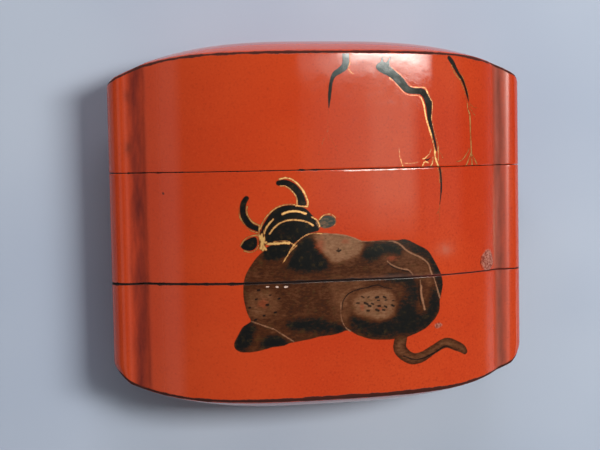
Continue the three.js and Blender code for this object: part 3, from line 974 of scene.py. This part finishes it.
HEAD_GOLD = [
    (0.17, [(-9.3, 7.9), (-8, 8.1), (-6.6, 7.4), (-5.4, 6), (-4.7, 4.4), (-4.65, 3.6)]),
    (0.12, [(-9.2, 6.8), (-8.2, 6.7), (-7.2, 5.9), (-6.5, 4.8), (-6.4, 3.6)]),
    (0.15, [(-6.6, 3.5), (-4.7, 3.3)]),
    (0.14, [(-14.6, 3.6), (-14.7, 2.7), (-14.3, 1.7), (-13.6, 0.9), (-12.7, 0.5)]),
    (0.1, [(-15.9, 3.4), (-15.8, 2), (-15.2, 0.8), (-14.3, -0.2), (-13.1, -0.7)]),
    (0.13, [(-15.8, -2.8), (-15.2, -1.9), (-14.3, -1.3), (-13, -1.1)]),
    (0.12, [(-15.2, -3.6), (-14.2, -3.9), (-13.3, -3.5), (-12.9, -2.8)]),
    (0.12, [(-12.6, -0.1), (-12, 1.2), (-11, 2.4), (-9.8, 3.3), (-8.3, 3.75), (-6.8, 3.7)]),
    (0.15, [(-4, 1.6), (-3.2, 1.1), (-2.8, 0.4), (-2.7, 0)]),
    (0.2, [(-8.9, 2.25), (-7.6, 2.6), (-6.2, 2.55), (-5, 2.15)]),
    (0.16, [(-11.1, -1), (-10.4, -0.1), (-9.3, 0.75), (-7.8, 1.2), (-6.2, 1.15), (-4.8, 0.8),
        (-3.8, 0.2)]),
    (0.17, [(-11.9, -0.9), (-11.6, 0), (-11, 0.8), (-10.4, 1.4)]),
    (0.22, [(-11.3, -2.6), (-10, -2.6), (-8.6, -2.5), (-7.9, -2.6)]),
    (0.1, [(-10.4, -2.3), (-8.4, -2.2), (-7.5, -2.6), (-6.9, -3)]),
    (0.1, [(-9, -5.8), (-8.2, -4.6), (-7.3, -3.2), (-6.2, -2.1), (-4.8, -1.25), (-3.4, -1.1),
        (-2.3, -1.2)]),
    (0.08, [(-8.4, -5), (-7.6, -3.9), (-6.6, -3)]),
    (0.12, [(-2.7, 1.2), (-1.9, 1.85), (-0.8, 1.95), (0, 1.4)]),
    (0.03, [(0, 1.4), (0, 0.4), (-0.8, -0.3), (-2, -0.4)]),
    (0.1, [(-12.7, 0.3), (-12.8, -1.2), (-12.6, -2.8), (-12.9, -3.6)]),
    (0.2, [(-12.3, -1), (-12.3, -1.9), (-12.1, -3), (-12.2, -3.6)]),
    (0.1, [(-12, -0.4), (-11.9, -1.4), (-11.8, -2.4), (-11.4, -2.7)]),
    (0.06, [(-13.2, -1), (-13, -2), (-13, -3)]),
    (0.24, [(-12.7, -1.3), (-12.35, -2.2), (-12.5, -3.3)]),
    (0.2, [(-12, -1.7), (-12.2, -2.6), (-11.7, -3.5)]),
    (0.16, [(-12.5, -2.5), (-11.6, -2.3)]),
]  # fmt: skip
HEAD_TONE = 0.02  # black
EAR_TONE = 1.28  # grey
MIDDLE_TWIG = [
    (18.6, 9.1, 0.2), (18.8, 7.6, 0.2), (18.85, 5.8, 0.17), (18.7, 4.3, 0.12), (18.5, 2.9, 0.04),
]  # fmt: skip
MIDDLE_GOLD = [
    (0.08, [(18.15, 9.1), (18.5, 8.2), (18.55, 6.6)]),
    (0.08, [(19, 8.8), (19.1, 7.6), (19.1, 6.8)]),
    (0.06, [(18.5, 2.9), (18.4, 1.5), (18.4, 0.2)]),
    (0.04, [(18.5, 2.6), (17.9, 1.2)]),
    (0.05, [(25.3, 9.1), (25.4, 8.4)]),
]


def middle_front(x, y):
    """The ox's head and back, the tip of the long branch, the knocks, smudges, a painted glint along the
    right flute and a pale seam line.
    """
    paint = paint_ox_body(x, y)
    head = patch(x, y, OX_HEAD)
    # The horns, the ears and the throat.
    for part in (
        stroke(x, y, RIGHT_HORN),
        stroke(x, y, LEFT_HORN),
        oval(x, y, -1.45, 0.75, 1.5, 1.05, 10),
        patch(x, y, LEFT_EAR),
        oval(x, y, -9.8, -3.8, 2.2, 1.1),
    ):
        head = np.minimum(head, part)
    on_head = np.clip(0.5 - head / 0.3, 0, 1)
    paint["tone"] = paint["tone"] * (1 - on_head) + HEAD_TONE * on_head
    near_ear = np.hypot(x + 1.5, y - 0.9) < 1.8
    paint["tone"] = np.where(near_ear, EAR_TONE, paint["tone"])
    paint["ox"] = np.minimum(paint["ox"], np.minimum(head, oval(x, y, -12.3, -2, 0.6, 1.7)))
    paint["gold"] = strokes(x, y, HEAD_GOLD + MIDDLE_GOLD)
    paint["branch"] = stroke(x, y, MIDDLE_TWIG)
    paint["scuff"] = oval(x, y, 28.6, -7.3, 1.4, 1.8)
    # A pale line under the upper seam: partly chipped lacquer, partly a painted highlight of the seam's
    # eased edge.
    paint["chip"] = stroke(x, y, [(1.6, 9.03), (6, 9.0), (10, 9.03), (14, 9.05)], 0.06)
    paint["smudge"] = 0.4 * cloud(x, y, 19.4, -4.7, 1.5, 1.1) + 0.2 * cloud(x, y, 10, -8.7, 6, 0.3)
    # Painted highlight: a pale glint along the edge of the right flute.
    paint["smudge"] += 0.6 * cloud(x, y, 30.35, -2, 0.3, 8)
    knocks = [(0.14, [(-27.7, 6), (-27.6, 5.8)]), (0.08, [(27.2, -6.4), (27, -7.6), (27.4, -8.6)])]
    paint["dark"] = np.minimum(paint["dark"], strokes(x, y, knocks))
    return paint


def middle_back(x, y):
    """The tip of a plain branch that starts on the lid's back."""
    tip = [(11.6, 9.3, 0.3), (11.9, 7, 0.25), (11.4, 4.6, 0.2), (11.7, 2.4, 0.08)]
    return {"branch": stroke(x, y, tip)}


middle_seams = [(middle_low, LOWER_SEAM), (middle_high, UPPER_SEAM)]
dress(middle_mesh, turning, middle_seams, middle_front, middle_back)
finish_piece("middle_case_lacquered", middle_mesh, "middle_case", ends=[])

# ------------------------------------------------------------------ lid
# A domed wooden cap with one bore under it, which slides over the middle case's riser. Dark branches
# with gold-lined twigs hang from its upper edge.

LID_BORE = 16  # the bore is straight up to here

lid_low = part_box("lid")[0].y / MM

turning = Turning()
turning.closed_end(socket, lambda o: end_reach(o) - END_WALL, INSIDE, outwards=True)
turning.bore(socket, [end_reach(socket) - END_WALL, LID_BORE, lid_low], INSIDE)
turning.seam_edge(lid_low, -1, outwards=True)
turning.outer_wall(lid_low + EASE, end_reach(wall_ring) - EDGE, END_PIECE_ROWS)
turning.domed_end(1, outwards=False)
lid_mesh = shell("lid_lacquered", turning, half_length - END_WALL, half_length)

LID_BRANCHES = [
    [(2.2, 28.4, 0.6), (2.2, 26.8, 0.62), (1.9, 26, 0.6), (1.1, 25.4, 0.5), (0.2, 24.8, 0.4),
        (-0.3, 23.7, 0.3), (-0.6, 21.8, 0.28), (-0.8, 19.4, 0.1)],
    [(7.9, 26, 0.6), (8.6, 25.9, 0.95), (9.8, 25.1, 0.75), (10.7, 24.4, 0.72), (11.6, 23.5, 0.75),
        (12.5, 22.5, 0.65), (13.3, 22.1, 0.55), (14.4, 22, 0.5), (15.4, 21.9, 0.55), (16.1, 21.2, 0.6),
        (16.6, 20.1, 0.66), (16.7, 19, 0.5), (16.75, 17.6, 0.4), (17, 16.2, 0.32), (17.4, 14.7, 0.25),
        (17.8, 13.2, 0.2), (18, 12, 0.1)],
    [(9.8, 27.5, 0.16), (9.4, 26.8, 0.25), (9.3, 25.9, 0.5)],
    [(8.4, 27.5, 0.15), (8.4, 26.8, 0.28), (8.5, 26.2, 0.4)],
    [(20.7, 27.6, 0.35), (21.3, 26.9, 0.42), (22, 25.8, 0.33), (22.7, 24.8, 0.28), (23.4, 23.9, 0.26),
        (24, 22.6, 0.2), (24.4, 21.3, 0.2), (24.7, 20.2, 0.08)],
    [(15.7, 10.9, 0.06), (16.2, 10.5, 0.13), (16.9, 10.9, 0.06)],
]  # fmt: skip
LID_GOLD_TWIGS = [
    (0.12, [(2.6, 25.7), (3, 25.2), (3.4, 24.9)]),
    (0.07, [(2.9, 28), (2.9, 26.8), (2.6, 25.9)]),
    (0.07, [(9.6, 24.2), (10.6, 23.4), (11.6, 22.3), (12.4, 21.6), (13.4, 21.3), (14.6, 21.3),
        (15.2, 20.9)]),
    (0.15, [(15.2, 20.9), (15.7, 19.8), (15.9, 18.6), (16.2, 17.2), (16.7, 15.7), (17.1, 14.4)]),
    (0.1, [(17.1, 14.4), (17.5, 12.9), (17.7, 11.8)]),
    (0.06, [(9.6, 26.2), (10.8, 25.3), (12.2, 24.1), (13.2, 22.9), (14.4, 22.6), (15.4, 22.65)]),
    (0.1, [(15.4, 22.65), (16.1, 22.4), (16.7, 21.2), (17.25, 20.3)]),
    (0.08, [(17.3, 20.2), (17.3, 18.8), (17.15, 17.4), (17.5, 15.8), (17.9, 14.4), (18.3, 13)]),
    (0.1, [(18.3, 13), (18.35, 11.6), (18.3, 10.4)]),
    (0.2, [(17.7, 11.9), (17.75, 11), (18, 10.2), (18.4, 9.3)]),
    (0.1, [(17, 12.3), (16.6, 11.5), (15.9, 10.9), (15.4, 10.7)]),
    (0.12, [(16.4, 10.1), (15.7, 10.2), (15.3, 9.4)]),
    (0.12, [(17.3, 11), (17.2, 10), (16.8, 9.4)]),
    (0.06, [(18.4, 12), (19, 11.3), (19.3, 10.6)]),
    (0.07, [(11.1, 12.6), (11.2, 11.2)]),
    (0.11, [(11.2, 11.2), (11.5, 10.3), (11.8, 9.4)]),
    (0.02, [(11.9, 10.1), (13.4, 10), (14.8, 10.3)]),
    (0.12, [(21.2, 26.4), (21.6, 25.4), (22.2, 24.6), (22.9, 24)]),
    (0.09, [(22.9, 24), (23.4, 23), (23.9, 21.7), (24.3, 20.2), (24.4, 19.2)]),
    (0.06, [(22.6, 25.5), (23.3, 24.7), (24, 23.4), (24.5, 22), (24.9, 20.4)]),
    (0.13, [(24.4, 20), (24.5, 19), (24.9, 18), (25, 16), (25.1, 13), (25.2, 11), (25.3, 9.5)]),
    (0.07, [(24.9, 20), (25.6, 19.4), (26.6, 19.2)]),
    (0.07, [(24.8, 19.6), (25.5, 18.5), (26.1, 17.9)]),
    (0.1, [(24.7, 12.2), (23.9, 11.1), (23, 10.3), (22, 10.1)]),
    (0.1, [(25.1, 11.6), (24.5, 10.3), (24, 9.4)]),
    (0.1, [(25.4, 11.2), (26, 10.2), (26.4, 9.5)]),
    (0.0, [(-0.9, 19.2), (-1, 16.5), (-1, 14)]),
    (0.01, [(-1, 16), (-2.2, 13.2), (-2.8, 11.6)]),
    (0.01, [(-0.9, 15), (0.4, 12.6), (1, 11.4)]),
]  # fmt: skip


def branches(x, y, lines):
    """Several branches whose points carry their own half widths."""
    best = np.full(x.shape, FAR)
    for line in lines:
        np.minimum(best, stroke(x, y, line), out=best)
    return best


def lid_front(x, y):
    """The hanging branches, two scratches, the soot by the left bead and a painted glint along the right
    bead.
    """
    scratches = [
        (0.0, [(-9, 26.6), (-4, 25.8), (1, 25.1), (7, 24.8)]),
        (0.0, [(-14, 26.2), (-10, 25.6), (-7, 25.7)]),
    ]
    soot = cloud(x, y, -33, 22, 0.5, 0.9) + cloud(x, y, -33, 13.6, 0.6, 1.3)
    return {
        "branch": branches(x, y, LID_BRANCHES),
        "gold": strokes(x, y, LID_GOLD_TWIGS),
        "chip": strokes(x, y, scratches) + 0.05,
        # A painted highlight along the right bead, less the soot by the left bead.
        "smudge": 0.4 * cloud(x, y, 32.6, 26, 0.4, 16) - 0.6 * soot,
    }


BACK_BRANCHES = [
    [(-14, 27, 0.5), (-13.2, 24.6, 0.45), (-11.6, 22.8, 0.4), (-11.2, 20.4, 0.3), (-11.9, 18, 0.12)],
    [(9, 28, 0.6), (9.8, 25.4, 0.6), (11.4, 23, 0.5), (11.2, 19.4, 0.45), (12.2, 15.4, 0.35),
        (11.6, 9.5, 0.3)],
]  # fmt: skip


def lid_back(x, y):
    """Two plain branches."""
    return {"branch": branches(x, y, BACK_BRANCHES)}


dress(lid_mesh, turning, [(lid_low, UPPER_SEAM)], lid_front, lid_back)
finish_piece("lid_lacquered", lid_mesh, "lid", ends=[1])

# ------------------------------------------------------------------ floor, light and camera
# A plain pale floor, flat lamps with soft edges round the case, and an even sky. The front panel
# mirrors the key lamp near its upper right edge, with the fringe and haze lamps below it.

floor_mesh = bpy.data.meshes.new("floor")
floor_shape = bmesh.new()
bmesh.ops.create_grid(floor_shape, x_segments=8, y_segments=8, size=3)
floor_shape.to_mesh(floor_mesh)
floor_shape.free()
floor = put("floor", floor_mesh)
floor_finish, floor_tree, floor_skin = new_finish("pale_floor")
floor_mottle = fade(floor_tree, grain(floor_tree, 60, 2), -0.2, 0.2)
floor_colour = lay(floor_tree, dye(166, 180, 202), dye(178, 191, 210), floor_mottle)
floor_tree.links.new(floor_colour, floor_skin.inputs["Base Color"])
floor_skin.inputs["Roughness"].default_value = 0.8
floor_mesh.materials.append(floor_finish)


def lamp(name, place, aim, width, height, power, colour, soft=None):
    """A flat lamp whose width lies level; soft gives the shares over which its four edges fade."""
    light = bpy.data.lights.new(name, "AREA")
    light.shape = "RECTANGLE"
    light.size, light.size_y = width, height
    light.energy = power
    light.color = colour
    if soft:
        light.use_nodes = True
        tree = light.node_tree
        place_on_lamp = wire(tree, "ShaderNodeNewGeometry").outputs["Parametric"]
        split = wire(tree, "ShaderNodeSeparateXYZ", {"Vector": place_on_lamp})
        glow = 1.0
        for share, near, far in zip(split.outputs, soft[::2], soft[1::2]):
            rest = reckon(tree, "SUBTRACT", 1.0, share)
            near = reckon(tree, "DIVIDE", share, near, clamp=True)
            far = reckon(tree, "DIVIDE", rest, far, clamp=True)
            glow = times(tree, glow, times(tree, near, far))
        tree.links.new(glow, tree.nodes["Emission"].inputs["Strength"])
    made = put(name, light)
    back = (Vector(place) - aim).normalized()
    across = Vector((0, 1, 0)).cross(back).normalized()
    turned = Matrix((across, back.cross(across), back)).transposed()
    made.matrix_world = Matrix.Translation(place) @ turned.to_4x4()


centre = (cad_low + cad_high) / 2
below_key = Vector((0.372, 0, 0))
even = (0.25, 0.25, 0.25, 0.25)
lamp(
    "key_lamp", (0.372, 0.131, 0.57), below_key, 0.462, 0.135, 5.5, (1, 0.96, 0.9),
    soft=(0.025, 0.45, 0.02, 0.03),
)  # fmt: skip
lamp(
    "fringe_lamp", (0.3, 0.063, 0.58), below_key, 0.4, 0.018, 0.075, (0.7, 1, 0.96),
    soft=(0.1, 0.7, 0.2, 0.2),
)  # fmt: skip
lamp("haze_lamp", (0.275, 0.012, 0.6), centre, 0.32, 0.13, 0.19, (0.94, 1, 0.8), even)
lamp("tail_lamp", (0.6, 0.015, 0.5), centre, 0.5, 0.2, 0.1, (0.94, 1, 0.8), even)
lamp("upper_lamp", (-0.2, 0.8, 0.3), centre, 1.3, 0.12, 9, (1, 0.95, 0.98), (0.2, 0.2, 0.4, 0.4))
lamp("lower_lamp", (-0.1, -0.8, 0.3), centre, 1.2, 0.3, 0.4, (0.97, 0.97, 1))
lamp("left_lamp", (-0.8, 0, 0.55), centre, 0.4, 1.6, 0.8, (1, 0.96, 0.95), even)
lamp("right_lamp", (0.6, -0.3, 0.022), centre, 0.03, 0.5, 0.15, (1, 0.98, 0.98))

sky = bpy.data.worlds.new("sky")
sky.use_nodes = True
sky_light = sky.node_tree.nodes["Background"]
sky_light.inputs["Color"].default_value = (1, 0.93, 0.93, 1)
sky_light.inputs["Strength"].default_value = 0.1
bpy.context.scene.world = sky

bpy.context.scene.view_settings.view_transform = "Standard"

camera_turns = {"X": 0.0616, "Y": 0.2154, "Z": 0.0321}  # radians away from straight down
camera_aim = centre + Vector((-0.0037, -0.0003, 0))
camera_distance = 0.2234

lens = bpy.data.cameras.new("camera")
lens.lens = 78
lens.clip_start = 0.01
camera = put("camera", lens)
turn = Matrix.Identity(3)
for axis, angle in camera_turns.items():
    turn = Matrix.Rotation(angle, 3, axis) @ turn
turn.transpose()
camera.matrix_world = turn.to_4x4()
camera.location = camera_aim + turn.col[2] * camera_distance
bpy.context.scene.camera = camera
